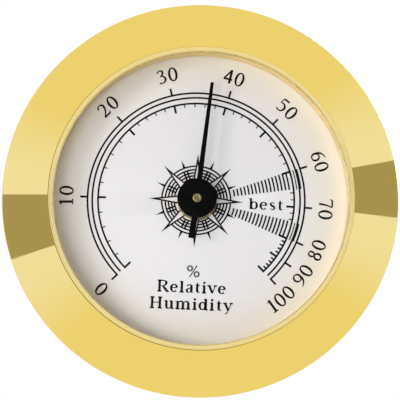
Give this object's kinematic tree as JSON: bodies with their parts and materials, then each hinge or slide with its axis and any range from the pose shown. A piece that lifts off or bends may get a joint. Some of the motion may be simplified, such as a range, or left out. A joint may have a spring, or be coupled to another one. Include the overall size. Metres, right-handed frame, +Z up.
{
  "type": "dial hygrometer",
  "caption": "Round panel-mounted dial hygrometer: wide conical brass flange, silver percent dial, black pointer, coil movement, vented rear drum.",
  "frame": {"origin": "on the case's axis, in the plane of the flange's rear face, which rests on the panel", "axes": "+Y from the dial into the panel, so the dial faces -Y; +Z up the dial; +X to the right of a person reading the dial"},
  "size_m": [0.07, 0.0167, 0.07],
  "materials": {
    "brass": "polished, lacquered",
    "gilt": "gilt, bright",
    "turned_brass": "turned, satin",
    "glass": "clear, polished",
    "seal": "matt",
    "dial": "satin silvered, printed in black",
    "enamel": "satin black enamel",
    "steel": "nickel plated",
    "coil": "metal strip with a moisture-sensitive coating",
    "case": "pressed, lightly brushed",
    "back": "satin",
    "gauze": "woven",
    "rubber": "matt"
  },
  "bodies": {
    "case": {"flange_ring": "brass", "lens_bezel": "gilt", "lens": "glass", "lens_seal": "seal", "reflector_ring": "gilt", "dial_plate": "dial", "front_bearing": "turned_brass", "movement_plate": "steel", "plate_screw_1": "steel", "plate_screw_2": "steel", "pillar_1": "turned_brass", "pillar_2": "turned_brass", "rear_bridge": "steel", "bridge_screw_1": "steel", "bridge_screw_2": "steel", "adjuster_washer": "steel", "case_body": "case", "back_plate": "back", "back_screw_1": "steel", "back_screw_2": "steel", "back_screw_3": "steel", "vent_screen": "gauze", "grip_ring": "rubber"},
    "adjuster": {"adjuster": "turned_brass", "rear_bearing": "turned_brass", "coil_stud": "steel", "hygro_coil": "coil"},
    "pointer_shaft": {"pointer": "enamel", "pointer_bush": "turned_brass", "arbor": "steel", "coil_collet": "turned_brass"}
  },
  "joints": [
    {"name": "calibration", "type": "hinge", "parent": "case", "child": "adjuster", "pos_m": [-0.00055, 0, 0.00027], "axis": [0, 1, 0], "range_deg": [-25, 25]},
    {"name": "humidity", "type": "hinge", "parent": "adjuster", "child": "pointer_shaft", "pos_m": [-0.00055, 0, 0.00027], "axis": [0, 1, 0], "range_deg": [-140.3, 129.3], "stiffness_Nm_per_rad": 0.0002, "deforming": ["hygro_coil"]}
  ]
}
